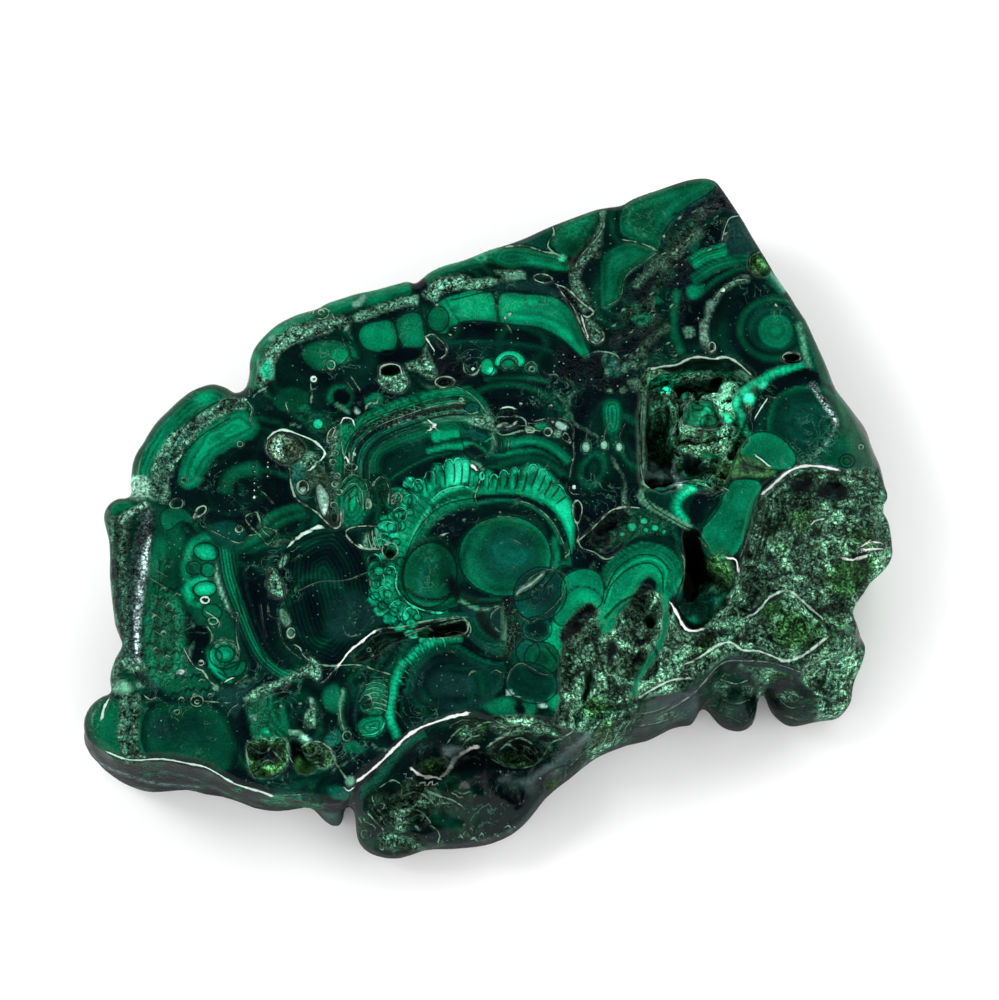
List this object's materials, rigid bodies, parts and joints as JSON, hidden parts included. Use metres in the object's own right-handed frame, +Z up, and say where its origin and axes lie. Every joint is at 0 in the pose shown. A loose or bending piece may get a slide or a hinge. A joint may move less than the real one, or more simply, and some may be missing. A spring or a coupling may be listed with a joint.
{
  "type": "polished malachite specimen",
  "caption": "Free-form polished slab of banded malachite with a flat face, a scalloped natural outline, a crystal-lined vug and a rough matrix corner, lying on a sawn underside.",
  "frame": {"origin": "centre of the bounding box, on the sawn underside", "axes": "+Z up out of the polished face; +X towards the rough matrix end, along the longest side; +Y towards the far polished edge, away from the low front ledge"},
  "size_m": [0.1294, 0.1114, 0.0206],
  "materials": {
    "malachite": "polished banded green stone, with rough matte grains in the hollows and the matrix corner"
  },
  "bodies": {
    "root": {"malachite_specimen": "malachite"}
  },
  "joints": []
}
